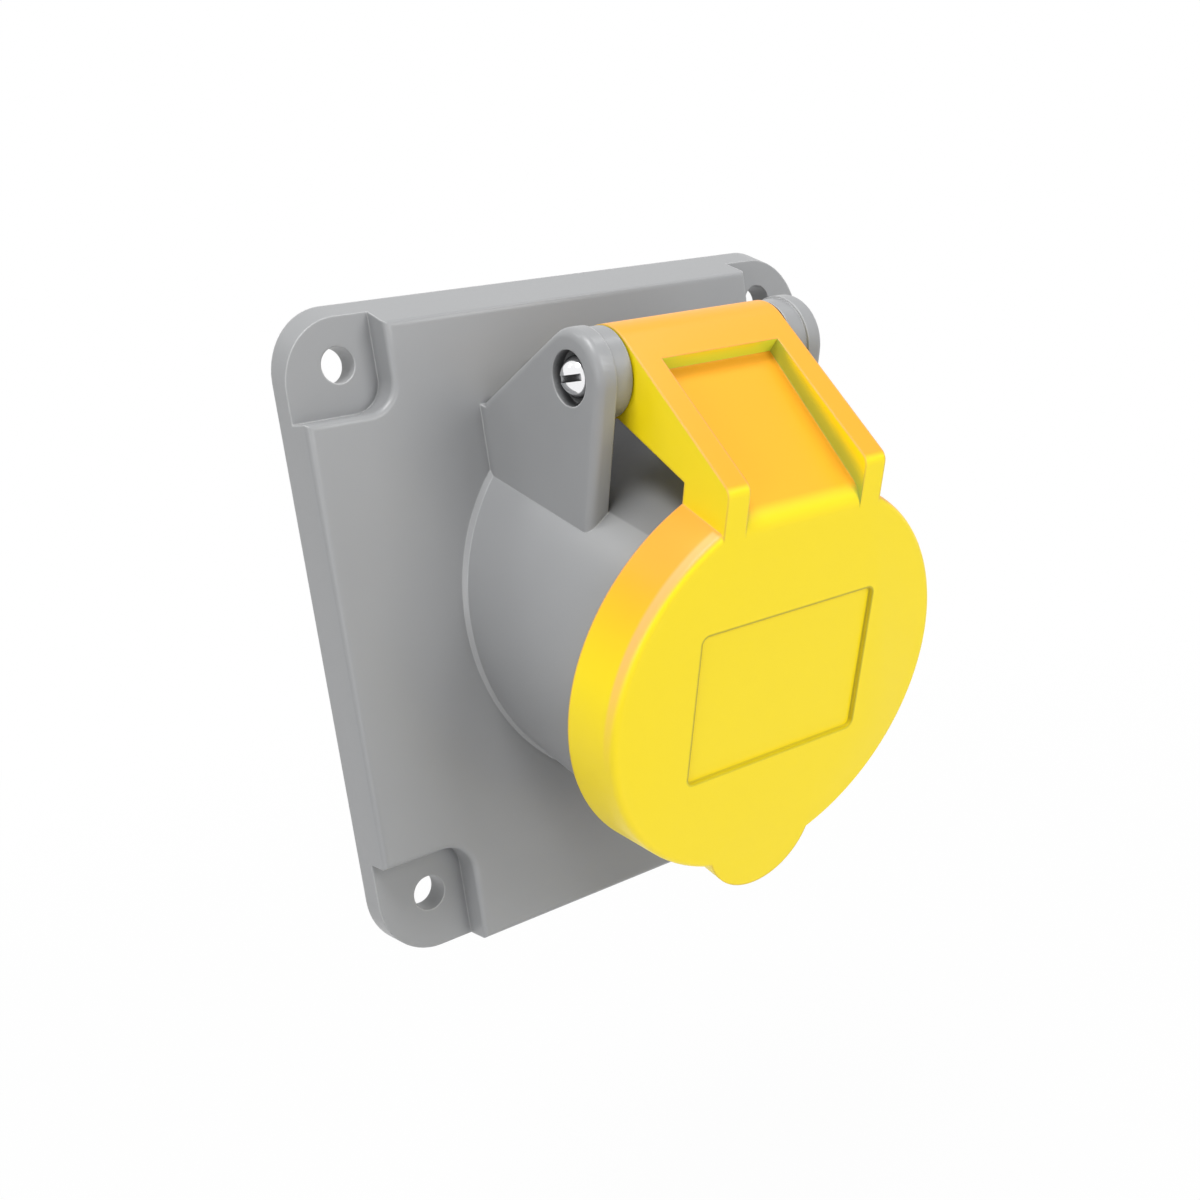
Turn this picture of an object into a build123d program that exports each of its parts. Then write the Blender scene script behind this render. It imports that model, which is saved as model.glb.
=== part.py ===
from build123d import *
from math import acos, atan2, cos, hypot, radians, sin, sqrt, tan
import os

os.makedirs("parts", exist_ok=True)

# All sizes are in millimetres. The origin is the middle of the flange's back face,
# +X to the right, +Y into the panel, +Z up. The barrel leans down towards the front.

# Flange
flange_size = 85.0
flange_depth = 7.7
flange_corner_r = 8.0
flange_top_lean = 3.2
flange_wall = 2.5
rim_width = 6.0
face_edge_r = 0.9
pocket_across = 12.7
pocket_down = 13.9
pocket_floor = 3.6
pocket_corner_r = 4.0
pocket_wall = 2.5
hole_inset = 7.5
hole_r = 2.3
gasket_groove_width = 3.0
gasket_groove_depth = 1.5
gasket_groove_inset = 2.0
gasket_corner_r = 4.0

# Barrel
barrel_tilt = 20.0
barrel_r = 24.8
barrel_wall = 2.2
barrel_length = 29.8
nose_step = 0.9
nose_length = 5.0
nose_chamfer = 0.8
barrel_root_edge = 0.5
collar_wall = 4.2
collar_depth = 14.0
keyway_width = 6.2
keyway_depth = 1.3
keyway_pad_width = 9.0
keyway_pad_height = 1.0
keyway_start = 3.0

# Hinge
hinge_forward = 9.5
hinge_height = 10.3
ear_outer_x = 18.0
ear_plate = 2.7
ear_r = 5.9
ear_boss_r = 5.6
ear_root_up = 27.4
ear_edge_r = 1.2
boss_gap = 0.3
knuckle_inset = 0.2
pin_r = 2.0
pin_fit = 0.05
pin_tail = 0.9
pin_head_r = 2.5
pin_head_height = 1.5
pin_head_rim = 0.2
slot_width = 0.8
slot_depth = 0.7
head_recess_r = 3.4
head_recess_depth = 1.6
clip_r = 3.1
clip_thickness = 0.5

# Lid
lid_plate = 2.2
skirt_overlap = 4.3
skirt_gap = 1.4
skirt_wall = 1.8
skirt_taper = 1.0
lid_edge_r = 0.9
lid_inner_chamfer = 0.8
arm_width = 25.0
arm_slope = 29.4
arm_under_slope = 14.7
arm_under_gap = 1.4
arm_root_depth = 5.6
arm_corner_r = 1.6
pocket_width = 18.4
pocket_start = 3.9
pocket_depth = 2.2
pocket_foot_drop = 2.1
label_width = 28.0
label_height = 20.6
label_depth = 0.5
label_corner_r = 1.0
tab_r = 8.8
tab_inset = 4.8
tab_thickness = 3.4
catch_width = 9.0
catch_above_core = 0.7
catch_height = 2.4
catch_reach = 3.0
seal_inner_lap = 0.6
seal_outer_lap = 0.5
seal_thickness = 1.1
seal_gap = 0.1

# Spring
spring_wire_r = 0.5
wire_sides = 6
spring_coil_r = 3.2
spring_length = 6.5
spring_full_turns = 4
spring_room_gap = 0.7
spring_room_width = 10.0
spring_room_open = (125.0, 205.0, 285.0)
spring_lid_leg = 8.5
spring_lid_angle = 45.0
spring_fixed_angle = 200.0
spring_leg_gap = 0.3

# Socket insert
shroud_room = 4.6
core_set_back = 7.8
core_edge = 0.6
spigot_length = 3.0
spigot_gap = 0.15
base_inset = 0.8
base_thickness = 4.0
rear_block_wall = 8.2
rear_block_length = 12.0
contact_inset = 7.2
face_thickness = 1.8
mouth_gap = 0.6
insert_seal_groove = 1.3
fixing_offset = 0.2
fixing_screw_r = 1.25
fixing_head_r = 2.3
fixing_head_height = 1.6
head_chamfer = 0.5
fixing_length = 12.0
fixing_tip_gap = 1.0
fixing_hole_gap = 0.2
screw_fit = 0.05

# Contacts: radius of the pin that each one takes, and its clock angle
contact_names = ("contact_l1", "contact_l2", "contact_earth")
contact_pin_r = (2.5, 2.5, 3.5)
contact_angle = (90.0, 210.0, -30.0)
contact_bore_gap = 0.05
contact_wall = 1.4
contact_collar = 0.75
contact_room = 0.1
contact_slit = 0.7
contact_slit_depth = 18.0
wire_bore_r = 2.1
wire_bore_depth = 9.0
ring_width = 3.0
ring_wall = 0.55
ring_set_back = 5.0
terminal_screw_r = 1.6
terminal_head_r = 2.7
terminal_head_height = 1.8
terminal_set_back = 5.0
terminal_access_gap = 0.3

# Rear retainer
retainer_thickness = 2.4
retainer_inset = 0.6
wire_hole_gap = 0.8
retainer_screw_r = 1.4
retainer_head_r = 2.6
retainer_screw_bite = 8.0
retainer_pilot_depth = 9.0

# Sizes that follow from those above
half = flange_size / 2
hole_spacing = flange_size - 2 * hole_inset
barrel_bore_r = barrel_r - barrel_wall
nose_r = barrel_r - nose_step
collar_r = barrel_r + collar_wall
base_r = collar_r - base_inset
fixing_ring_r = (barrel_bore_r + base_r) / 2 + fixing_offset
core_r = barrel_bore_r - shroud_room
contact_ring_r = core_r - contact_inset
rear_block_r = contact_ring_r + rear_block_wall
core_front = barrel_length - core_set_back
hinge_up = barrel_r + hinge_height
tilt = radians(barrel_tilt)
forward = (0, -cos(tilt), -sin(tilt))
barrel_axis = Axis((0, -flange_depth, 0), forward)
barrel_up = Axis((0, -flange_depth, 0), (0, -sin(tilt), cos(tilt)))
boss_x = arm_width / 2 + boss_gap
plate_x = ear_outer_x - ear_plate
base_back = -collar_depth - base_thickness
block_back = base_back - rear_block_length
lid_inner = barrel_length + seal_gap + seal_thickness
lid_front = lid_inner + lid_plate
lid_back = barrel_length - skirt_overlap
skirt_inner_r = nose_r + skirt_gap
lid_back_r = skirt_inner_r + skirt_wall
lid_front_r = lid_back_r - skirt_taper
arm_under_up = skirt_inner_r + arm_under_gap
arm_root_up = lid_front_r - arm_root_depth
pocket_foot_up = lid_front_r - pocket_foot_drop
tab_up = tab_inset - lid_front_r
catch_up = core_r + catch_above_core
seal_inner_r = barrel_bore_r - seal_inner_lap
seal_outer_r = nose_r + seal_outer_lap
knuckle_r = ear_r - knuckle_inset
spring_room_r = spring_coil_r + spring_wire_r + spring_room_gap
core_back = -collar_depth + spigot_length
face_back = core_front - face_thickness
contact_front = face_back - contact_room


def across(depth):
    """Plane square to the barrel, at a distance in front of the flange's face."""
    return Plane(origin=(0, -flange_depth, 0), x_dir=(1, 0, 0), z_dir=forward).offset(depth)


def along(x):
    """Plane along the barrel at a distance to the right: local x forward, local y up."""
    return Plane(origin=(x, -flange_depth, 0), x_dir=forward, z_dir=(-1, 0, 0))


def radial(depth, angle):
    """Plane that faces outward from the barrel's axis at a clock angle."""
    square = across(depth)
    outward = square.x_dir * cos(radians(angle)) + square.y_dir * sin(radians(angle))
    return Plane(origin=square.origin, x_dir=forward, z_dir=outward)


def polar(radius, angle, centre=(0, 0)):
    """Point on a circle, with its angle in degrees."""
    return (
        centre[0] + radius * cos(radians(angle)),
        centre[1] + radius * sin(radians(angle)),
    )


def tangent_point(start, centre, radius):
    """Point where the upper tangent from start touches a circle."""
    reach = hypot(start[0] - centre[0], start[1] - centre[1])
    turn = atan2(start[1] - centre[1], start[0] - centre[0]) - acos(radius / reach)
    return (centre[0] + radius * cos(turn), centre[1] + radius * sin(turn))


def finish(node, name):
    """Name a finished piece and write it."""
    node.part.label = name
    export_step(node.part, f"parts/{name}.step")


hinge = (hinge_forward, hinge_up)

# Rear collar: carries the socket insert behind the flange's face
with BuildPart() as collar:
    with BuildSketch(across(-collar_depth)):
        Circle(collar_r)
    extrude(amount=collar_depth + collar_r)
    split(bisect_by=Plane.XZ.offset(flange_depth - flange_wall / 2), keep=Keep.BOTTOM)

# Ear: flat gusset plate with a round boss about the hinge pin
ear_root = (-ear_root_up * sin(tilt), ear_root_up * cos(tilt))
ear_top = tangent_point(ear_root, hinge, ear_r)
with BuildPart() as ear:
    with BuildSketch(along(ear_outer_x)):
        with BuildLine():
            Polyline(
                (hinge_forward + ear_r, hinge_up),
                (hinge_forward + ear_r, 0),
                (0, 0),
                (ear_root[0] - flange_wall / 2, ear_root[1]),
                ear_root,
                ear_top,
            )
            ThreePointArc(ear_top, polar(ear_r, 60, hinge), polar(ear_r, 0, hinge))
        make_face()
    extrude(amount=ear_plate)
    outline = ear.faces().sort_by(Axis.X)[-1].edges()
    fillet(outline.sort_by(barrel_up)[-2:] + outline.sort_by(barrel_axis)[-1:], ear_edge_r)
    with BuildSketch(along(plate_x)):
        with Locations(hinge):
            Circle(ear_boss_r)
    extrude(amount=plate_x - boss_x)

# Housing: flange, tilted barrel, collar and hinge ears, moulded as one
with BuildPart() as housing:
    with BuildSketch(Plane.YZ):
        with BuildLine():
            Polyline(
                (0, -half),
                (-flange_depth, -half),
                (-flange_depth, half - flange_top_lean),
                (0, half),
                close=True,
            )
        make_face()
    extrude(amount=half, both=True)
    fillet(housing.edges().filter_by(lambda e: abs(e.tangent_at(0.5).Y) > 0.5), flange_corner_r)
    with BuildSketch(Plane.XZ.offset(pocket_floor)):
        with GridLocations(flange_size, flange_size, 2, 2):
            RectangleRounded(2 * pocket_across, 2 * pocket_down, pocket_corner_r)
    extrude(amount=flange_depth, mode=Mode.SUBTRACT)
    fillet(housing.faces().sort_by(Axis.Y)[0].edges(), face_edge_r)
    with BuildSketch(Plane.XZ):
        inner = flange_size - 2 * rim_width
        Rectangle(inner, inner)
        with GridLocations(flange_size, flange_size, 2, 2):
            Rectangle(
                2 * (pocket_across + pocket_wall),
                2 * (pocket_down + pocket_wall),
                mode=Mode.SUBTRACT,
            )
    extrude(amount=flange_depth - flange_wall, mode=Mode.SUBTRACT)
    add(collar.part)
    with BuildSketch(across(-collar_depth)):
        Circle(barrel_r)
    extrude(amount=collar_depth + barrel_length - nose_length)
    root = housing.edges().filter_by(GeomType.ELLIPSE).sort_by(Axis.Y)[0]
    chamfer(root, barrel_root_edge)
    add(ear.part)
    mirror(ear.part, about=Plane.YZ)
    # Nose of the barrel, inside the lid's skirt
    with BuildSketch(across(barrel_length - nose_length)):
        Circle(nose_r)
    extrude(amount=nose_length)
    chamfer(housing.edges().group_by(barrel_axis)[-1], nose_chamfer)
    # Pad that backs the keyway
    with BuildSketch(across(0)):
        with Locations((0, -barrel_r)):
            Rectangle(keyway_pad_width, 2 * keyway_pad_height)
    extrude(amount=barrel_length - nose_length)
    # Bore from the nose to the collar's back, with its keyway
    with BuildSketch(across(-collar_depth)):
        Circle(barrel_bore_r)
    extrude(amount=collar_depth + barrel_length, mode=Mode.SUBTRACT)
    with BuildSketch(across(keyway_start)):
        with Locations((0, -barrel_bore_r)):
            Rectangle(keyway_width, 2 * keyway_depth)
    extrude(amount=barrel_length, mode=Mode.SUBTRACT)
    # Hinge holes and the recesses for the pin's head and clip
    with BuildSketch(along(0)):
        with Locations(hinge):
            Circle(pin_r + pin_fit)
    extrude(amount=ear_outer_x, both=True, mode=Mode.SUBTRACT)
    for x, way in ((ear_outer_x, 1), (-ear_outer_x, -1)):
        with BuildSketch(along(x)):
            with Locations(hinge):
                Circle(head_recess_r)
        extrude(amount=way * head_recess_depth, mode=Mode.SUBTRACT)
    # Holes for the panel screws and for the insert's fixing screws
    with BuildSketch(Plane.XZ):
        with GridLocations(hole_spacing, hole_spacing, 2, 2):
            Circle(hole_r)
    extrude(amount=flange_depth, mode=Mode.SUBTRACT)
    with BuildSketch(across(-collar_depth)):
        with PolarLocations(fixing_ring_r, 2, start_angle=0):
            Circle(fixing_screw_r)
    extrude(amount=fixing_length, mode=Mode.SUBTRACT)
    # Groove for the panel gasket
    with BuildSketch(Plane.XZ):
        ring = flange_size - 2 * gasket_groove_inset
        RectangleRounded(ring, ring, gasket_corner_r)
        inner_ring = ring - 2 * gasket_groove_width
        RectangleRounded(
            inner_ring, inner_ring, gasket_corner_r - gasket_groove_width, mode=Mode.SUBTRACT
        )
    extrude(amount=gasket_groove_depth, mode=Mode.SUBTRACT)

finish(housing, "housing")

# Panel gasket: square ring of foam rubber, flush in the flange's groove
with BuildPart() as panel_gasket:
    with BuildSketch(Plane.XZ):
        RectangleRounded(ring, ring, gasket_corner_r)
        RectangleRounded(
            inner_ring, inner_ring, gasket_corner_r - gasket_groove_width, mode=Mode.SUBTRACT
        )
    extrude(amount=gasket_groove_depth)

finish(panel_gasket, "panel_gasket")

# Insert base: rear terminal block, base flange and the spigot that enters the bore
with BuildPart() as insert_base:
    with BuildSketch(across(block_back)):
        Circle(rear_block_r)
    extrude(amount=rear_block_length)
    with BuildSketch(across(base_back)):
        Circle(base_r)
    extrude(amount=base_thickness)
    with BuildSketch(across(-collar_depth)):
        Circle(barrel_bore_r - spigot_gap)
    extrude(amount=spigot_length)
    # Seal groove round the spigot
    with BuildSketch(across(core_back - (spigot_length - insert_seal_groove) / 2)):
        Circle(barrel_bore_r)
        Circle(barrel_bore_r - insert_seal_groove, mode=Mode.SUBTRACT)
    extrude(amount=-insert_seal_groove, mode=Mode.SUBTRACT)
    # Room for each contact's collar and the way in to its terminal screw
    for pin, angle in zip(contact_pin_r, contact_angle):
        sleeve_r = pin + contact_bore_gap + contact_wall
        with BuildSketch(across(block_back)):
            with Locations(polar(contact_ring_r, angle)):
                Circle(sleeve_r + contact_collar + contact_room)
        extrude(amount=core_back - block_back, mode=Mode.SUBTRACT)
        with BuildSketch(radial(block_back + terminal_set_back, angle).offset(contact_ring_r)):
            Circle(terminal_head_r + terminal_access_gap)
        extrude(amount=rear_block_r, mode=Mode.SUBTRACT)
    # Holes for the two fixing screws and for the retainer's screw
    with BuildSketch(across(base_back)):
        with PolarLocations(fixing_ring_r, 2):
            Circle(fixing_screw_r + fixing_hole_gap)
    extrude(amount=base_thickness, mode=Mode.SUBTRACT)
    with BuildSketch(across(block_back)):
        Circle(retainer_screw_r + fixing_hole_gap)
    extrude(amount=core_back - block_back, mode=Mode.SUBTRACT)

finish(insert_base, "insert_base")

# Insert core: round pillar round which the plug's shroud slides
with BuildPart() as insert_core:
    with BuildSketch(across(core_back)):
        Circle(core_r)
        for pin, angle in zip(contact_pin_r, contact_angle):
            with Locations(polar(contact_ring_r, angle)):
                Circle(
                    pin + contact_bore_gap + contact_wall + contact_collar + contact_room,
                    mode=Mode.SUBTRACT,
                )
    extrude(amount=face_back - core_back)
    with BuildSketch(across(core_back)):
        Circle(retainer_screw_r + screw_fit)
    extrude(amount=retainer_pilot_depth, mode=Mode.SUBTRACT)

finish(insert_core, "insert_core")

# Insert face: plate on the core's front, with a mouth for each pin
with BuildPart() as insert_face:
    with BuildSketch(across(face_back)):
        Circle(core_r)
    extrude(amount=face_thickness)
    chamfer(insert_face.edges().group_by(barrel_axis)[-1], core_edge)
    with BuildSketch(across(face_back)):
        for pin, angle in zip(contact_pin_r, contact_angle):
            with Locations(polar(contact_ring_r, angle)):
                Circle(pin + mouth_gap)
    extrude(amount=face_thickness, mode=Mode.SUBTRACT)

finish(insert_face, "insert_face")

# Insert seal: flat rubber ring in the spigot's groove
with BuildPart() as insert_seal:
    with BuildSketch(across(core_back - (spigot_length - insert_seal_groove) / 2)):
        Circle(barrel_bore_r)
        Circle(barrel_bore_r - insert_seal_groove, mode=Mode.SUBTRACT)
    extrude(amount=-insert_seal_groove)

finish(insert_seal, "insert_seal")

# Contacts: turned brass, a split sleeve in front and a wire terminal behind
for name, pin, angle in zip(contact_names, contact_pin_r, contact_angle):
    spot = polar(contact_ring_r, angle)
    sleeve_r = pin + contact_bore_gap + contact_wall
    collar_outer_r = sleeve_r + contact_collar
    with BuildPart() as contact:
        with BuildSketch(across(block_back)):
            with Locations(spot):
                Circle(sleeve_r)
        extrude(amount=contact_front - block_back)
        with BuildSketch(across(block_back)):
            with Locations(spot):
                Circle(collar_outer_r)
        extrude(amount=rear_block_length)
        with BuildSketch(across(contact_front)):
            with Locations(spot):
                Circle(pin + contact_bore_gap)
        extrude(amount=core_back - contact_front, mode=Mode.SUBTRACT)
        with BuildSketch(across(contact_front)):
            with Locations(spot):
                Rectangle(2 * sleeve_r + contact_slit, contact_slit)
        extrude(amount=-contact_slit_depth, mode=Mode.SUBTRACT)
        with BuildSketch(across(block_back)):
            with Locations(spot):
                Circle(wire_bore_r)
        extrude(amount=wire_bore_depth, mode=Mode.SUBTRACT)
        with BuildSketch(radial(block_back + terminal_set_back, angle).offset(contact_ring_r)):
            Circle(terminal_screw_r + screw_fit)
        extrude(amount=collar_outer_r, mode=Mode.SUBTRACT)
    finish(contact, name)

    # Steel ring that squeezes the split sleeve
    with BuildPart() as ring:
        with BuildSketch(across(contact_front - ring_set_back)):
            with Locations(spot):
                Circle(sleeve_r + screw_fit + ring_wall)
                Circle(sleeve_r + screw_fit, mode=Mode.SUBTRACT)
                with Locations((0, sleeve_r)):
                    Rectangle(contact_slit, 2 * sleeve_r, mode=Mode.SUBTRACT)
        extrude(amount=-ring_width)
    finish(ring, name.replace("contact", "squeeze_ring"))

    # Terminal screw that clamps the wire
    with BuildPart() as terminal:
        head_plane = radial(block_back + terminal_set_back, angle)
        head_plane = head_plane.offset(contact_ring_r + collar_outer_r + screw_fit)
        with BuildSketch(head_plane):
            Circle(terminal_head_r)
        extrude(amount=terminal_head_height)
        with BuildSketch(head_plane):
            Circle(terminal_screw_r)
        extrude(amount=-(collar_outer_r - wire_bore_r / 2))
        with BuildSketch(head_plane.offset(terminal_head_height)):
            Rectangle(2 * terminal_head_r + slot_width, slot_width)
        extrude(amount=-slot_depth, mode=Mode.SUBTRACT)
    finish(terminal, name.replace("contact", "terminal_screw"))

# Contact retainer: plate on the rear block with a hole for each wire
with BuildPart() as contact_retainer:
    with BuildSketch(across(block_back)):
        Circle(rear_block_r - retainer_inset)
        for angle in contact_angle:
            with Locations(polar(contact_ring_r, angle)):
                Circle(wire_bore_r + wire_hole_gap, mode=Mode.SUBTRACT)
        Circle(retainer_screw_r + fixing_hole_gap, mode=Mode.SUBTRACT)
    extrude(amount=-retainer_thickness)

finish(contact_retainer, "contact_retainer")


def round_head_screw(plane, shank_r, shank_length, head_r, head_height):
    """Slotted screw: the head on the plane's front, the shank behind it."""
    with BuildPart() as screw:
        with BuildSketch(plane):
            Circle(head_r)
        extrude(amount=head_height)
        chamfer(screw.faces().sort_by(Axis(plane.origin, plane.z_dir))[-1].edges(), head_chamfer)
        with BuildSketch(plane):
            Circle(shank_r)
        extrude(amount=-shank_length)
        with BuildSketch(plane.offset(head_height)):
            Rectangle(2 * head_r + slot_width, slot_width)
        extrude(amount=-slot_depth, mode=Mode.SUBTRACT)
    return screw


def behind(depth, x=0):
    """Plane that faces back along the barrel, at a depth in front of the flange's face."""
    square = across(depth)
    return Plane(origin=square.origin + Vector(x, 0, 0), x_dir=(1, 0, 0), z_dir=-square.z_dir)


retainer_screw = round_head_screw(
    behind(block_back - retainer_thickness),
    retainer_screw_r,
    retainer_thickness + core_back - block_back + retainer_screw_bite,
    retainer_head_r,
    fixing_head_height,
)
finish(retainer_screw, "retainer_screw")

for side_name, x in (("left", -fixing_ring_r), ("right", fixing_ring_r)):
    fixing_screw = round_head_screw(
        behind(base_back, x),
        fixing_screw_r - screw_fit,
        base_thickness + fixing_length - fixing_tip_gap,
        fixing_head_r,
        fixing_head_height,
    )
    finish(fixing_screw, f"fixing_screw_{side_name}")

# Hinge pin: steel rod with a domed, slotted head in the left ear
head_x = -ear_outer_x + head_recess_depth
crown = pin_head_height - pin_head_rim
dome_r = (pin_head_r**2 + crown**2) / (2 * crown)
with BuildPart() as hinge_pin:
    with BuildSketch(along(head_x)):
        with Locations(hinge):
            Circle(pin_r)
    extrude(amount=-(ear_outer_x - head_recess_depth - head_x + pin_tail))
    pin_centre = along(head_x).from_local_coords(hinge)
    with BuildSketch(Plane(origin=pin_centre, x_dir=forward, z_dir=-barrel_up.direction)):
        with BuildLine():
            Polyline((0, pin_head_height), (0, 0), (pin_head_r, 0), (pin_head_r, pin_head_rim))
            RadiusArc((pin_head_r, pin_head_rim), (0, pin_head_height), -dome_r)
        make_face()
    revolve(axis=Axis(pin_centre, (1, 0, 0)))
    with BuildSketch(along(head_x - pin_head_height)):
        with Locations(hinge):
            Rectangle(2 * pin_head_r + slot_width, slot_width, rotation=barrel_tilt)
    extrude(amount=-slot_depth, mode=Mode.SUBTRACT)

finish(hinge_pin, "hinge_pin")

# Pin clip: push-on washer on the pin's tail, in the right ear's recess
with BuildPart() as pin_clip:
    with BuildSketch(along(ear_outer_x - head_recess_depth)):
        with Locations(hinge):
            Circle(clip_r)
            Circle(pin_r + screw_fit / 2, mode=Mode.SUBTRACT)
    extrude(amount=-clip_thickness)

finish(pin_clip, "pin_clip")

# Lid: round cap with a skirt, a recessed arm to the hinge and a thumb tab
slope = radians(arm_slope)
crest = polar(knuckle_r, 90 - arm_slope, hinge)
arm_corner = (lid_front, crest[1] - tan(slope) * (lid_front - crest[0]))
under = radians(arm_under_slope)
under_start = (lid_back - hinge_forward, arm_under_up - hinge_up)
under_run = under_start[0] * cos(under) - under_start[1] * sin(under)
under_reach = under_run - sqrt(under_run**2 - under_start[0] ** 2 - under_start[1] ** 2 + knuckle_r**2)
under_end = (lid_back - under_reach * cos(under), arm_under_up + under_reach * sin(under))
pocket_top = (crest[0] + pocket_start * cos(slope), crest[1] - pocket_start * sin(slope))
pocket_inner = (pocket_top[0] - pocket_depth * sin(slope), pocket_top[1] - pocket_depth * cos(slope))
with BuildPart() as lid:
    with BuildSketch(along(0)):
        with BuildLine():
            Polyline(
                (lid_back, 0),
                (lid_front, 0),
                (lid_front, lid_front_r),
                (lid_back, lid_back_r),
                close=True,
            )
        make_face()
    revolve(axis=barrel_axis)
    fillet(lid.edges().group_by(barrel_axis)[-1], lid_edge_r)
    # Thumb tab
    with BuildSketch(across(lid_front - tab_thickness)):
        with Locations((0, tab_up)):
            Circle(tab_r)
        Circle(lid_front_r - lid_edge_r, mode=Mode.SUBTRACT)
    extrude(amount=tab_thickness)
    # Arm from the cap's top back to the knuckle
    with BuildSketch(along(0)) as arm_side:
        with BuildLine():
            ThreePointArc(crest, polar(knuckle_r, 180, hinge), under_end)
            Polyline(
                under_end,
                (lid_back, arm_under_up),
                (lid_back, arm_root_up),
                (lid_front, arm_root_up),
                arm_corner,
                crest,
            )
        make_face()
        fillet(arm_side.vertices().sort_by_distance(arm_corner)[0], arm_corner_r)
    extrude(amount=arm_width / 2, both=True)
    # Hollow behind the cap's face
    with BuildSketch(along(0)):
        with BuildLine():
            Polyline(
                (0, 0),
                (0, skirt_inner_r),
                (lid_inner - lid_inner_chamfer, skirt_inner_r),
                (lid_inner, skirt_inner_r - lid_inner_chamfer),
                (lid_inner, 0),
                close=True,
            )
        make_face()
    revolve(axis=barrel_axis, mode=Mode.SUBTRACT)
    # Recess between the arm's ribs, running out into the cap's face
    with BuildSketch(along(0)):
        with BuildLine():
            Polyline(
                pocket_top,
                pocket_inner,
                (lid_front, pocket_foot_up),
                (lid_front + pocket_depth, pocket_foot_up),
                (lid_front + pocket_depth, pocket_top[1] + pocket_depth),
                (pocket_top[0] + pocket_depth * sin(slope), pocket_top[1] + pocket_depth * cos(slope)),
                close=True,
            )
        make_face()
    extrude(amount=pocket_width / 2, both=True, mode=Mode.SUBTRACT)
    # Shallow label recess
    with BuildSketch(across(lid_front)):
        RectangleRounded(label_width, label_height, label_corner_r)
    extrude(amount=-label_depth, mode=Mode.SUBTRACT)
    # Catch that holds a plug in place
    with BuildSketch(across(lid_inner)):
        with Locations((0, catch_up)):
            Rectangle(catch_width, catch_height)
    extrude(amount=-catch_reach)
    # Hinge bore, room for the spring and the slot for its leg
    with BuildSketch(along(0)):
        with Locations(hinge):
            Circle(pin_r + pin_fit)
    extrude(amount=arm_width, both=True, mode=Mode.SUBTRACT)
    with BuildSketch(along(0)):
        with Locations(hinge):
            Circle(spring_room_r)
        with BuildLine():
            Polyline(hinge, *[polar(2 * knuckle_r, a, hinge) for a in spring_room_open], close=True)
        make_face()
    extrude(amount=spring_room_width / 2, both=True, mode=Mode.SUBTRACT)
    leg_root = polar(spring_coil_r, spring_lid_angle, hinge)
    leg_room = spring_wire_r + spring_leg_gap
    leg_start = polar(leg_room, spring_lid_angle, leg_root)
    leg_end = polar(spring_lid_leg + leg_room, spring_lid_angle - 90, leg_start)
    leg_slot_depth = knuckle_r + leg_room
    with BuildSketch(along(spring_length / 2)):
        with BuildLine():
            Polyline(
                leg_start,
                leg_end,
                polar(-leg_slot_depth, spring_lid_angle, leg_end),
                polar(-leg_slot_depth, spring_lid_angle, leg_start),
                close=True,
            )
        make_face()
    extrude(amount=leg_room, both=True, mode=Mode.SUBTRACT)

finish(lid, "lid")

# Lid seal: flat rubber ring that closes on the barrel's nose
with BuildPart() as lid_seal:
    with BuildSketch(across(lid_inner)):
        Circle(seal_outer_r)
        Circle(seal_inner_r, mode=Mode.SUBTRACT)
    extrude(amount=-seal_thickness)

finish(lid_seal, "lid_seal")

# Lid spring: torsion coil round the pin, one leg in the lid and one on the barrel
sweep_angle = spring_fixed_angle - spring_lid_angle + 360 * spring_full_turns
start_dir = Vector(forward).rotate(Axis((0, 0, 0), (-1, 0, 0)), spring_lid_angle)
coil_plane = Plane(
    origin=along(spring_length / 2).from_local_coords(hinge),
    x_dir=start_dir,
    z_dir=(-1, 0, 0),
)
coil = coil_plane * Helix(spring_length * 360 / sweep_angle, spring_length, spring_coil_r)
fixed_root = polar(spring_coil_r, spring_fixed_angle, hinge)
fixed_drop = fixed_root[1] - barrel_r - spring_leg_gap
fixed_leg = fixed_drop / sin(radians(spring_fixed_angle - 90))
with BuildPart() as lid_spring:
    with BuildSketch(Plane(origin=coil @ 0, z_dir=coil % 0)):
        RegularPolygon(spring_wire_r, wire_sides)
    sweep(path=coil)
    for x, root, angle, length in (
        (spring_length / 2, leg_root, spring_lid_angle - 90, spring_lid_leg),
        (-spring_length / 2, fixed_root, spring_fixed_angle + 90, fixed_leg),
    ):
        plane = along(x)
        way = plane.x_dir * cos(radians(angle)) + plane.y_dir * sin(radians(angle))
        with BuildSketch(Plane(origin=plane.from_local_coords(root), z_dir=way)):
            RegularPolygon(spring_wire_r, wire_sides)
        extrude(amount=length)

finish(lid_spring, "lid_spring")
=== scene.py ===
import math

import bmesh
import bpy
from mathutils import Matrix, Vector


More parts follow.
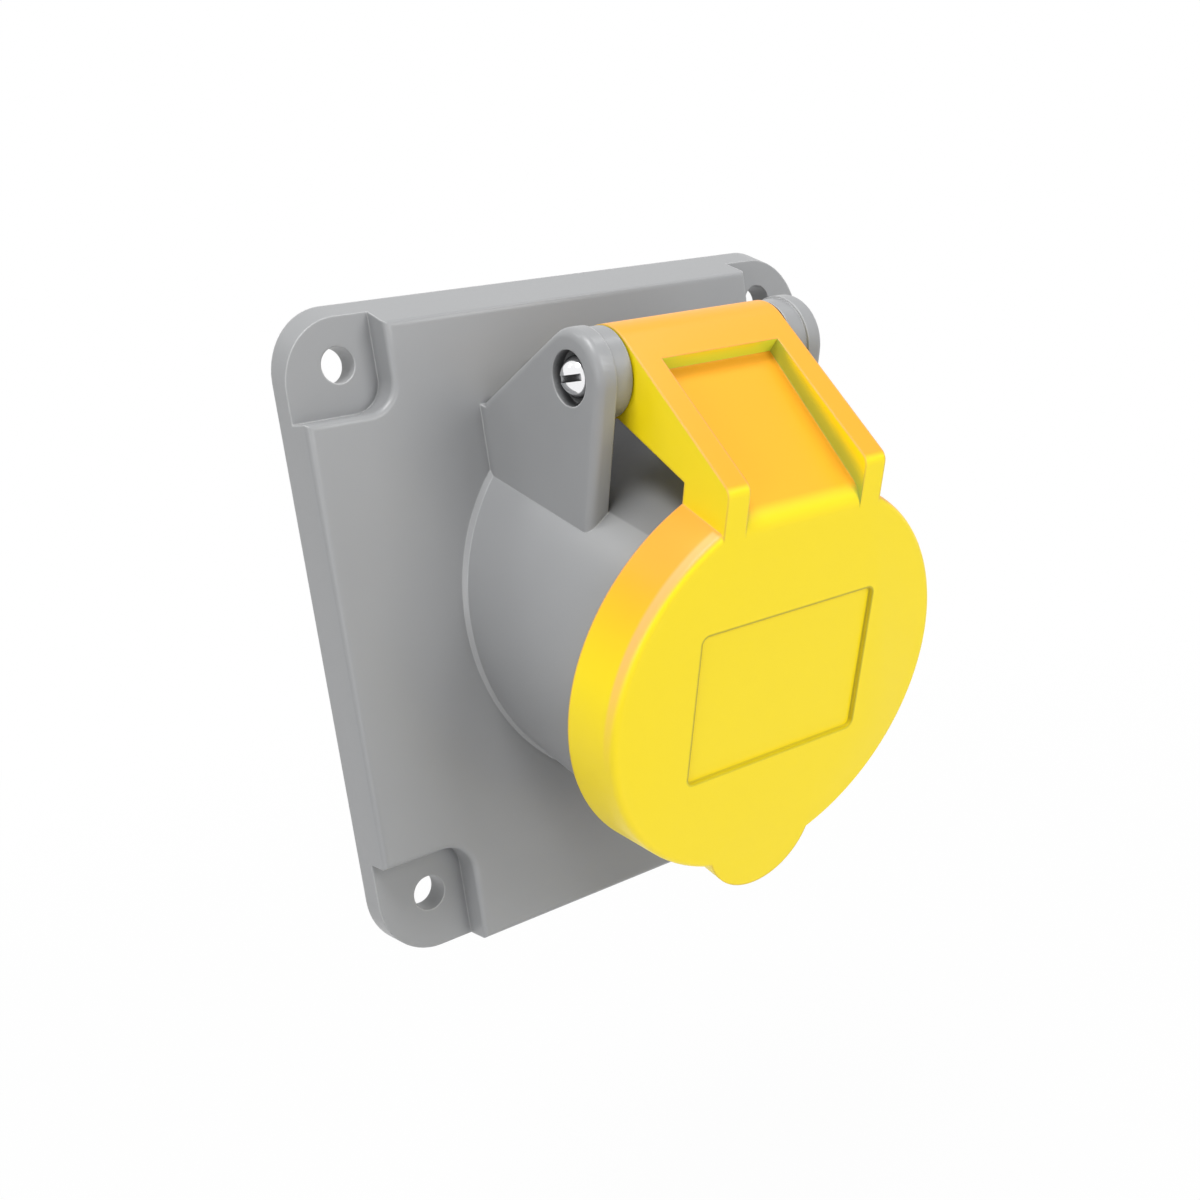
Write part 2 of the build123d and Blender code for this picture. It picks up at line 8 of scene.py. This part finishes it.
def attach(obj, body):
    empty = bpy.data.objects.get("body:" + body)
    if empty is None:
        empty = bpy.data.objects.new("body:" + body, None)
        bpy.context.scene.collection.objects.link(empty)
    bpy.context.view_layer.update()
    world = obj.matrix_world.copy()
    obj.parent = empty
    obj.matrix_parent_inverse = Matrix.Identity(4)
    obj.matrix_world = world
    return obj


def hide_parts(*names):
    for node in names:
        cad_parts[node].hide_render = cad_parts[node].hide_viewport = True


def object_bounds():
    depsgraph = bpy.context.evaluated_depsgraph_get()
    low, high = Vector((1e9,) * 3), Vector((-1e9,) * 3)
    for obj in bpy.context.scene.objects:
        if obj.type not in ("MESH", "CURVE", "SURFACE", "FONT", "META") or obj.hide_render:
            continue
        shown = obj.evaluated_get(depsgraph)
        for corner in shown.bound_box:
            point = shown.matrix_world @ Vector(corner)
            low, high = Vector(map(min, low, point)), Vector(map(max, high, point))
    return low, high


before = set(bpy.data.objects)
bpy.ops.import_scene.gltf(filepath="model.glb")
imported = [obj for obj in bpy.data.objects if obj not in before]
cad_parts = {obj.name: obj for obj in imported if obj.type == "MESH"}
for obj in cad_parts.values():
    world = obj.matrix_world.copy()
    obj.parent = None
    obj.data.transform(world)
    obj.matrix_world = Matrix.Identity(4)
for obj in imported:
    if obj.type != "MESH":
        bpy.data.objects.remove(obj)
cad_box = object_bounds()

# Viewpoint: the socket is seen from its left and a little above the hinge, through a
# short telephoto lens that is rolled a few degrees.
EYE = Vector((-0.12115, -0.17911, 0.03723))
LOOK_RIGHT = Vector((0.8015, -0.5809, -0.1419)).normalized()
LOOK_DOWN = Vector((-0.2226, -0.0695, -0.9724))
LENS_MM = 45.98
SENSOR_MM = 36.0

look_up = -(LOOK_DOWN - LOOK_DOWN.dot(LOOK_RIGHT) * LOOK_RIGHT).normalized()
look_back = LOOK_RIGHT.cross(look_up)
camera_data = bpy.data.cameras.new("camera")
camera_data.lens = LENS_MM
camera_data.sensor_width = SENSOR_MM
camera_data.clip_start = 0.005
camera = bpy.data.objects.new("camera", camera_data)
camera_turn = Matrix((LOOK_RIGHT, look_up, look_back)).transposed().to_4x4()
camera.matrix_world = Matrix.Translation(EYE) @ camera_turn
bpy.context.scene.collection.objects.link(camera)
bpy.context.scene.camera = camera
bpy.context.scene.view_settings.view_transform = "Standard"


class Shade:
    """A material's socket: operators add Math nodes, and node() adds any other node."""

    def __init__(self, tree, socket=None):
        self.tree = tree
        self.socket = socket

    def node(self, kind, settings=None, out=0, **inputs):
        """Adds a node: its settings first, then its sockets, by name or as i0, i1, ..."""
        made = self.tree.nodes.new(kind)
        for name, value in (settings or {}).items():
            setattr(made, name, value)
        for name, value in inputs.items():
            by_number = name[1:].isdigit()
            target = made.inputs[int(name[1:]) if by_number else name.replace("_", " ")]
            if isinstance(value, Shade):
                self.tree.links.new(value.socket, target)
            else:
                target.default_value = value
        return Shade(self.tree, made.outputs[out])

    def maths(self, operation, a, b):
        return self.node("ShaderNodeMath", {"operation": operation}, i0=a, i1=b)

    def __add__(self, other):
        return self.maths("ADD", self, other)

    def __sub__(self, other):
        return self.maths("SUBTRACT", self, other)

    def __rsub__(self, other):
        return self.maths("SUBTRACT", other, self)

    def __mul__(self, other):
        return self.maths("MULTIPLY", self, other)

    def __abs__(self):
        return self.maths("ABSOLUTE", self, 0.0)

    __radd__ = __add__
    __rmul__ = __mul__

    def larger(self, other):
        return self.maths("MAXIMUM", self, other)

    def spread(self, low, high, to_low=0.0, to_high=1.0):
        """Carries low..high onto to_low..to_high with soft ends."""
        return self.node(
            "ShaderNodeMapRange",
            {"interpolation_type": "SMOOTHSTEP"},
            Value=self,
            From_Min=low,
            From_Max=high,
            To_Min=to_low,
            To_Max=to_high,
        )

    def between(self, first, second):
        """Mixes two colours by this value; either may be a colour or another socket."""
        return self.node("ShaderNodeMix", {"data_type": "RGBA"}, out=2, i0=self, i6=first, i7=second)


# Studio: a pale floor well under the socket, which in use hangs on a panel, a white
# surround that the camera, gloss and glass see, and large soft lamps above and in front.
FLOOR_DROP = 0.075
FLOOR_SIZE = 6.0
FLOOR_NEAR = 0.12
FLOOR_FAR = 0.50
SHADOW_SHARE = 0.03
SURROUND = 0.30
LAMPS = (
    ("key_lamp", (-0.28, -0.25, 0.78), 0.35, 5.0),
    ("front_lamp", (0.30, -0.90, 0.40), 0.45, 3.6),
    ("left_lamp", (-0.80, -0.45, 0.05), 0.30, 1.2),
    ("right_lamp", (0.45, -0.15, 0.75), 0.10, 0.5),
    ("back_lamp", (-0.42, 0.28, 0.66), 0.10, 0.5),
)

world = bpy.data.worlds.new("surround")
bpy.context.scene.world = world
world.use_nodes = True
sky = world.node_tree.nodes["Background"]


def seen_white(tree):
    """1 where the camera, gloss or glass sees a surface, 0 where it only lights others."""
    rays = Shade(tree).node("ShaderNodeLightPath").socket.node.outputs
    camera_ray, glossy_ray, clear_ray = (
        Shade(tree, rays[name]) for name in ("Is Camera Ray", "Is Glossy Ray", "Is Transmission Ray")
    )
    return camera_ray.larger(glossy_ray).larger(clear_ray)


brightness = seen_white(world.node_tree) * (1.0 - SURROUND) + SURROUND
world.node_tree.links.new(brightness.socket, sky.inputs["Strength"])
sky.inputs["Color"].default_value = (1, 1, 1, 1)

floor_mesh = bpy.data.meshes.new("floor")
half_floor = FLOOR_SIZE / 2
floor_z = cad_box[0].z - FLOOR_DROP
corners = [(x * half_floor, y * half_floor, floor_z) for x, y in ((-1, -1), (1, -1), (1, 1), (-1, 1))]
floor_mesh.from_pydata(corners, [], [(0, 1, 2, 3)])
floor = bpy.data.objects.new("floor", floor_mesh)
bpy.context.scene.collection.objects.link(floor)
floor_paint = bpy.data.materials.new("pale_floor")
floor_paint.use_nodes = True
tree = floor_paint.node_tree
tree.nodes.clear()
place = Shade(tree).node("ShaderNodeTexCoord", out=3)
distance = place.node("ShaderNodeVectorMath", {"operation": "LENGTH"}, out=1, i0=place)
white_part = distance.spread(FLOOR_NEAR, FLOOR_FAR, 1.0 - SHADOW_SHARE, 1.0)
matt = place.node("ShaderNodeBsdfDiffuse", Color=(0.82, 0.82, 0.82, 1))
glow = place.node("ShaderNodeEmission", Color=(1, 1, 1, 1), Strength=1.0)
mixed = place.node("ShaderNodeMixShader", i0=seen_white(tree) * white_part, i1=matt, i2=glow)
tree.links.new(mixed.socket, tree.nodes.new("ShaderNodeOutputMaterial").inputs["Surface"])
floor_mesh.materials.append(floor_paint)

for name, spot, size, watts in LAMPS:
    lamp_data = bpy.data.lights.new(name, "AREA")
    lamp_data.shape = "SQUARE"
    lamp_data.size = size
    lamp_data.energy = watts
    lamp = bpy.data.objects.new(name, lamp_data)
    lamp.location = spot
    lamp.rotation_euler = (-Vector(spot)).to_track_quat("-Z", "Y").to_euler()
    bpy.context.scene.collection.objects.link(lamp)

# Housing: flange, tilted barrel, rear collar and hinge ears in one piece, injection
# moulded in grey polyamide with a fine satin grain. Its colour has light painted in:
# painted highlights along edges, and painted shade in the pin's recess and in the gap
# between the ears.
GREY = (0.292, 0.297, 0.304, 1)
GREY_PALE = (0.314, 0.319, 0.326, 1)
GREY_HIGHLIGHT = (0.640, 0.646, 0.650, 1)
GREY_SHADE = (0.025, 0.025, 0.026, 1)
TILT = math.radians(20.0)
BARREL_FORWARD = Vector((0, -math.cos(TILT), -math.sin(TILT)))
BARREL_UP = Vector((0, -math.sin(TILT), math.cos(TILT)))
FLANGE_FRONT = -0.0077
EAR_INNER = 0.0153
UNDER_PIN = 0.0305
SOFT_EDGE = 0.0003
GAP_REACH = 0.020
PIT_REACH = 0.003
GRAIN_PER_M = 2600.0
GRAIN_DEPTH = 0.000012
SHARP_OVER = math.radians(35.0)
FLAT_WITHIN = math.radians(0.4)
MERGE_WITHIN = 1e-6


def new_material(name, **constants):
    """A Principled material with its constant sockets set; returns its object coordinates too."""
    made = bpy.data.materials.new(name)
    made.use_nodes = True
    shader = made.node_tree.nodes["Principled BSDF"]
    for socket, value in constants.items():
        shader.inputs[socket.replace("_", " ")].default_value = value
    return made, shader, Shade(made.node_tree).node("ShaderNodeTexCoord", out=3)


def feed(shader, **links):
    """Links what changes over the surface into the shader's sockets."""
    for socket, value in links.items():
        value.tree.links.new(value.socket, shader.inputs[socket.replace("_", " ")])


def noise(place, per_m, detail=2.0):
    return place.node("ShaderNodeTexNoise", Vector=place, Scale=per_m, Detail=detail)


def mould_grain(place, strength, edge):
    """A mould's spark-eroded grain as a height, and its bump on edges rounded by a radius."""
    grain = noise(place, GRAIN_PER_M)
    rounded = place.node("ShaderNodeBevel", {"samples": 6}, Radius=edge)
    relief = place.node(
        "ShaderNodeBump", Strength=strength, Distance=GRAIN_DEPTH, Height=grain, Normal=rounded
    )
    return grain, relief


def toward(place, axis):
    """How far a point lies along an axis."""
    return place.node("ShaderNodeVectorMath", {"operation": "DOT_PRODUCT"}, out=1, i0=place, i1=axis)


def how_open(place, reach, alone=False):
    """1 on an open face, less in a corner or in a gap no wider than the reach."""
    settings = {"samples": 8, "only_local": alone}
    return place.node("ShaderNodeAmbientOcclusion", settings, out=1, Distance=reach)


def edge_highlight_mask(place, edge):
    """Up to 1 along a sharp edge, most where it looks up, fading out over a radius: the mask for
    painted highlights.
    """
    rounded = place.node("ShaderNodeBevel", {"samples": 6}, Radius=edge)
    true = place.node("ShaderNodeNewGeometry", out=1)
    same = place.node("ShaderNodeVectorMath", {"operation": "DOT_PRODUCT"}, out=1, i0=rounded, i1=true)
    return same.spread(0.80, 0.99, 1.0, 0.0) * toward(rounded, (0, 0, 1)).spread(-0.5, 0.6, 0.3, 1.0)


def recast(node, material, body, reshape=None):
    """A finished copy of a CAD node: merged, smooth shaded, first reshaped where asked."""
    form = bmesh.new()
    form.from_mesh(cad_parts[node].data)
    bmesh.ops.remove_doubles(form, verts=form.verts, dist=MERGE_WITHIN)
    bmesh.ops.dissolve_limit(form, angle_limit=FLAT_WITHIN, verts=form.verts, edges=form.edges)
    if reshape:
        form.normal_update()
        reshape(form)
        form.normal_update()
    for face in form.faces:
        face.smooth = True
    for line in form.edges:
        if len(line.link_faces) == 2:
            line.smooth = line.calc_face_angle() < SHARP_OVER
    mesh = bpy.data.meshes.new(node + "_finished")
    form.to_mesh(mesh)
    form.free()
    mesh.materials.clear()
    mesh.materials.append(material)
    piece = bpy.data.objects.new(node + "_finished", mesh)
    bpy.context.scene.collection.objects.link(piece)
    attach(piece, body)
    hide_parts(node)


def barrel_place(place):
    """Where a point lies in the barrel's frame: how far to either side, up and forward."""
    aside = abs(toward(place, (1, 0, 0)))
    height = toward(place, BARREL_UP) - FLANGE_FRONT * BARREL_UP.y
    depth = toward(place, BARREL_FORWARD) - FLANGE_FRONT * BARREL_FORWARD.y
    return aside, height, depth


grey_plastic, shader, place = new_material("grey_moulding", IOR=1.5)
clouds = noise(place, 55.0)
grain, relief = mould_grain(place, 0.35, SOFT_EDGE)
aside, height, depth = barrel_place(place)
# Painted shade: between the ears, under the pin and in the pin's recess the colour darkens to near
# black where the surface is closed in.
between_ears = aside.spread(EAR_INNER - SOFT_EDGE, EAR_INNER, 1.0, 0.0)
under_pin = height.spread(UNDER_PIN - 0.002, UNDER_PIN, 1.0, 0.0) * height.spread(0.015, 0.019)
deep = depth.spread(0.006, 0.020, 1.0, 0.30)
off_corner = 1.0 - depth.spread(-0.0085, -0.0065, 1.0, 0.0) * aside.spread(0.0085, 0.0115)
closed_in = how_open(place, GAP_REACH).spread(0.80, 1.10, 1.0, 0.0)
gap_shade = closed_in * between_ears * under_pin * deep * off_corner
pit_shade = how_open(place, PIT_REACH).spread(0.25, 0.60, 1.0, 0.0)
# Painted highlight: edges are paled towards a light grey, most where they look up.
grey_with_highlights = edge_highlight_mask(place, 0.0004).between(clouds.between(GREY, GREY_PALE), GREY_HIGHLIGHT)
feed(
    shader,
    Base_Color=gap_shade.larger(pit_shade).between(grey_with_highlights, GREY_SHADE),
    Roughness=grain * 0.08 + clouds * 0.06 + 0.27,
    Normal=relief,
)
recast("housing", grey_plastic, "base")
recast("contact_retainer", grey_plastic, "base")

# Panel gasket: square ring of black foam rubber, pressed into the groove in the flange's
# back, where it seals against the panel.
rubber, shader, place = new_material("black_rubber", Roughness=0.75, IOR=1.5)
bloom = noise(place, 240.0, 4.0)
feed(
    shader,
    Base_Color=bloom.between((0.018, 0.018, 0.018, 1), (0.035, 0.035, 0.034, 1)),
    Roughness=bloom * 0.2 + 0.65,
)
recast("panel_gasket", rubber, "base")

# Insert: base, core and face of black glass-filled polyamide, matt, screwed into the
# collar from behind, with a rubber ring round its spigot.
dark_plastic, shader, place = new_material("dark_moulding", Roughness=0.55, IOR=1.5)
clouds = noise(place, 70.0)
grain, relief = mould_grain(place, 0.4, 0.0002)
feed(
    shader,
    Base_Color=clouds.between((0.030, 0.031, 0.033, 1), (0.045, 0.046, 0.049, 1)),
    Roughness=grain * 0.1 + 0.45,
    Normal=relief,
)
for node in ("insert_base", "insert_core", "insert_face"):
    recast(node, dark_plastic, "base")
recast("insert_seal", rubber, "base")

# Contacts: brass sleeves turned on a lathe and split in front, each with a clamped
# wire terminal behind.
brass, shader, place = new_material("turned_brass", Metallic=1.0, Base_Color=(0.80, 0.58, 0.27, 1))
swirl = noise(place, 800.0, 3.0)
feed(shader, Roughness=swirl * 0.2 + 0.18)
for node in ("contact_l1", "contact_l2", "contact_earth"):
    recast(node, brass, "base")

# Small steel parts: squeeze rings round the sleeves, terminal screws, the retainer's
# screw, the insert's fixing screws and the pin's clip, all zinc plated.
steel, shader, place = new_material("plated_steel", Metallic=1.0, Base_Color=(0.62, 0.62, 0.63, 1))
swirl = noise(place, 700.0, 3.0)
feed(shader, Roughness=swirl * 0.18 + 0.20)
for node in (
    "squeeze_ring_l1",
    "squeeze_ring_l2",
    "squeeze_ring_earth",
    "terminal_screw_l1",
    "terminal_screw_l2",
    "terminal_screw_earth",
    "retainer_screw",
    "fixing_screw_left",
    "fixing_screw_right",
    "pin_clip",
):
    recast(node, steel, "base")

# Hinge pin: polished steel rod that the lid turns on. Its domed, slotted head sits in the
# left ear's recess, and a push-on clip holds its other end.
HEAD_SEAT = -0.0164
HEAD_RISE = 1.6
HEAD_SPREAD = 1.08
HINGE = Vector((0, FLANGE_FRONT, 0)) + 0.0095 * BARREL_FORWARD + 0.0351 * BARREL_UP
BRIGHT = (0.90, 0.90, 0.91, 1)
SLOT_SHADE = (0.05, 0.05, 0.05, 1)
SLOT_REACH = 0.002

bright_steel, shader, place = new_material("bright_steel", Metallic=1.0)
swirl = noise(place, 900.0, 3.0)
# Painted shade: the head's slot is darkened where it is closed in.
out_of_slot = how_open(place, SLOT_REACH, alone=True).spread(0.55, 0.90)
feed(shader, Base_Color=out_of_slot.between(SLOT_SHADE, BRIGHT), Roughness=swirl * 0.08 + 0.08)


def raise_head(form):
    """Lifts the pin's domed head a little proud of the ear and widens it."""
    for vert in form.verts:
        if vert.co.x < HEAD_SEAT + MERGE_WITHIN:
            vert.co.x = HEAD_SEAT + (vert.co.x - HEAD_SEAT) * HEAD_RISE
            vert.co.y = HINGE.y + (vert.co.y - HINGE.y) * HEAD_SPREAD
            vert.co.z = HINGE.z + (vert.co.z - HINGE.z) * HEAD_SPREAD


recast("hinge_pin", bright_steel, "base", reshape=raise_head)

# Lid: cap, skirt, thumb tab and recessed arm in one yellow polyamide moulding. Its colour
# has light painted in: painted top light in orange where it looks up, painted highlights
# on edges and the cap's upper round, and painted shade on the arm recess's walls and
# round the label recess.
LEMON = (0.990, 0.765, 0.008, 1)
AMBER_TOP_LIGHT = (0.940, 0.390, 0.020, 1)
OCHRE_SHADE = (0.420, 0.470, 0.050, 1)
OLIVE_SHADE = (0.740, 0.850, 0.060, 1)
OUTLINE_SHADE = (0.640, 0.500, 0.010, 1)
OUTLINE_SHADE_LIT = (0.800, 0.640, 0.010, 1)
PEACH_HIGHLIGHT = (0.980, 0.510, 0.170, 1)
LABEL_HALF_WIDTH = 0.0130
LABEL_HALF_HEIGHT = 0.0093
LABEL_CORNER_R = 0.0010
FRONT_OVER = 0.0315
FRONT_FLAT_R = 0.0258
ARM_ABOVE = 0.010
ARM_HALF = 0.0126
ARM_FLOOR_HALF = 0.0092
FOOT_ROUND = 0.0020
FOOT_ABOVE = 0.005

yellow_plastic, shader, place = new_material("yellow_moulding", IOR=1.5, Specular_IOR_Level=0.35)
facing = place.node("ShaderNodeTexCoord", out=1)
upward = facing.node("ShaderNodeSeparateXYZ", out=2, i0=facing)
clouds = noise(place, 60.0)
grain, relief = mould_grain(place, 0.3, 0.0004)
# Painted light: faces that look up turn orange as if lit from above.
top_lit = upward.spread(0.10, 0.70)
aside, height, depth = barrel_place(place)
by_arm = height.spread(ARM_ABOVE, ARM_ABOVE + 0.002)
in_pocket = by_arm * aside.spread(ARM_FLOOR_HALF + 0.0003, ARM_FLOOR_HALF + 0.0006, 1.0, 0.0)
# Painted shade: the arm recess's walls darken to olive and ochre where they are closed in.
wall_shade = how_open(place, 0.004).spread(0.70, 0.90, 1.0, 0.0) * in_pocket
wall_shade_colour = upward.spread(-0.75, -0.35).between(OLIVE_SHADE, OCHRE_SHADE)
colour = top_lit.between(wall_shade.between(LEMON, wall_shade_colour), AMBER_TOP_LIGHT)

# Painted shade: a dark line round the label recess, lighter along its lower edge where it is lit.
past_side = (aside - LABEL_HALF_WIDTH).larger(0.0)
past_end = (abs(height) - LABEL_HALF_HEIGHT).larger(0.0)
past = aside.maths("SQRT", past_side * past_side + past_end * past_end, 0.0)
outline_shade = abs(past - LABEL_CORNER_R).spread(0.00015, 0.00035, 1.0, 0.0)
in_front = depth.maths("GREATER_THAN", depth, FRONT_OVER)
outline_shade_colour = height.spread(-0.0100, -0.0092).between(OUTLINE_SHADE_LIT, OUTLINE_SHADE)

# Painted highlight: edges outside the recess walls and the upward part of the cap's round are paled
# towards peach.
from_axis = aside.maths("SQRT", aside * aside + height * height, 0.0)
off_arm = 1.0 - by_arm * aside.spread(ARM_HALF, ARM_HALF + 0.0004, 1.0, 0.0)
outside_flat = from_axis.spread(FRONT_FLAT_R, FRONT_FLAT_R + 0.0005)
near_front = depth.spread(FRONT_OVER - 0.0003, FRONT_OVER + 0.0003)
cap_round_highlight = outside_flat * near_front * upward.spread(-0.28, 0.40) * off_arm
edges = edge_highlight_mask(place, 0.0006) * (1.0 - wall_shade)
painted_highlight = edges.larger(cap_round_highlight) * 0.85
feed(
    shader,
    Base_Color=(outline_shade * in_front).between(painted_highlight.between(colour, PEACH_HIGHLIGHT), outline_shade_colour),
    Roughness=grain * 0.08 + clouds * 0.06 + 0.30,
    Normal=relief,
)


def round_foot(form):
    """Rounds the edge where the arm's recessed floor runs out onto the lid's front."""
    for side in (-ARM_FLOOR_HALF, ARM_FLOOR_HALF):
        fronts = [face for face in form.faces if face.normal.dot(BARREL_FORWARD) > 0.999]
        parts = {part for face in fronts for part in (face, *face.edges, *face.verts)}
        cut = {"dist": MERGE_WITHIN, "plane_co": (side, 0, 0), "plane_no": (1, 0, 0)}
        bmesh.ops.bisect_plane(form, geom=list(parts), **cut)
    form.normal_update()
    feet = []
    for line in form.edges:
        if len(line.link_faces) == 2 and min(vert.co.z for vert in line.verts) > FOOT_ABOVE:
            floor, front = sorted((face.normal for face in line.link_faces), key=BARREL_FORWARD.dot)
            if front.dot(BARREL_FORWARD) > 0.99 and abs(floor.x) < 0.05 and floor.z > 0.3:
                feet.append(line)
    bmesh.ops.bevel(form, geom=feet, offset=FOOT_ROUND, segments=6, profile=0.5, affect="EDGES")


recast("lid", yellow_plastic, "lid", reshape=round_foot)
recast("lid_seal", rubber, "lid")

# Lid spring: torsion coil of plated wire round the pin, one leg in the lid's slot and
# one on the barrel.
BARREL_R = 0.0248
WIRE_R = 0.0005
COIL_R = 0.0032
COIL_LENGTH = 0.0065
FULL_TURNS = 4
LID_LEG = 0.0085
LID_ANGLE = 45.0
FIXED_ANGLE = 200.0
LEG_GAP = 0.0003
POINTS_PER_TURN = 24


def follow_path(name, spline_points, radius, sides, material):
    """Wire along paths, made by a Geometry Nodes tree and left as a plain mesh."""
    curve = bpy.data.curves.new(name, "CURVE")
    curve.dimensions = "3D"
    for points in spline_points:
        spline = curve.splines.new("POLY")
        spline.points.add(len(points) - 1)
        for target, point in zip(spline.points, points):
            target.co = (*point, 1.0)
    path = bpy.data.objects.new(name + "_path", curve)
    bpy.context.scene.collection.objects.link(path)
    nodes = bpy.data.node_groups.new(name, "GeometryNodeTree")
    sockets = {}
    for label, kind, direction in (
        ("Path", "NodeSocketGeometry", "INPUT"),
        ("Radius", "NodeSocketFloat", "INPUT"),
        ("Sides", "NodeSocketInt", "INPUT"),
        ("Material", "NodeSocketMaterial", "INPUT"),
        ("Wire", "NodeSocketGeometry", "OUTPUT"),
    ):
        made = nodes.interface.new_socket(name=label, in_out=direction, socket_type=kind)
        sockets[label] = made.identifier
    given = Shade(nodes, nodes.nodes.new("NodeGroupInput").outputs[0])
    ins = {socket.name: Shade(nodes, socket) for socket in given.socket.node.outputs}
    ring = given.node("GeometryNodeCurvePrimitiveCircle", Resolution=ins["Sides"], Radius=ins["Radius"])
    swept = given.node("GeometryNodeCurveToMesh", Curve=ins["Path"], Profile_Curve=ring, Fill_Caps=True)
    soft = given.node("GeometryNodeSetShadeSmooth", Geometry=swept)
    plain = given.node("GeometryNodeRealizeInstances", Geometry=soft)
    painted = given.node("GeometryNodeSetMaterial", Geometry=plain, Material=ins["Material"])
    out = nodes.nodes.new("NodeGroupOutput")
    nodes.links.new(painted.socket, out.inputs["Wire"])
    maker = path.modifiers.new("wire", "NODES")
    maker.node_group = nodes
    for label, value in (("Radius", radius), ("Sides", sides), ("Material", material)):
        maker[sockets[label]] = value
    bpy.context.view_layer.update()
    seen = path.evaluated_get(bpy.context.evaluated_depsgraph_get())
    mesh = bpy.data.meshes.new_from_object(seen)
    bpy.data.objects.remove(path)
    piece = bpy.data.objects.new(name, mesh)
    bpy.context.scene.collection.objects.link(piece)
    return piece


def round_hinge(x, radius, degrees):
    """A point on a circle about the hinge pin."""
    angle = math.radians(degrees)
    spoke = math.cos(angle) * BARREL_FORWARD + math.sin(angle) * BARREL_UP
    return HINGE + Vector((x, 0, 0)) + radius * spoke


def leg_end(root, degrees, length):
    """The far end of a straight leg that leaves the coil at an angle."""
    return root + (round_hinge(0.0, length, degrees) - round_hinge(0.0, 0.0, degrees))


sweep = FIXED_ANGLE - LID_ANGLE + 360.0 * FULL_TURNS
steps = round(sweep / 360.0 * POINTS_PER_TURN)
coil = [
    round_hinge(COIL_LENGTH / 2 - COIL_LENGTH * step / steps, COIL_R, LID_ANGLE + sweep * step / steps)
    for step in range(steps + 1)
]
fixed_up = (coil[-1] - Vector((0, FLANGE_FRONT, 0))).dot(BARREL_UP)
fixed_leg = (fixed_up - BARREL_R - LEG_GAP) / math.sin(math.radians(FIXED_ANGLE - 90.0))
lid_leg_end = leg_end(coil[0], LID_ANGLE - 90.0, LID_LEG)
fixed_leg_end = leg_end(coil[-1], FIXED_ANGLE + 90.0, fixed_leg)
wire_line = [lid_leg_end, *coil, fixed_leg_end]
lid_spring = follow_path("spring_wire", [wire_line], WIRE_R, 10, steel)
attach(lid_spring, "base")
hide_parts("lid_spring")
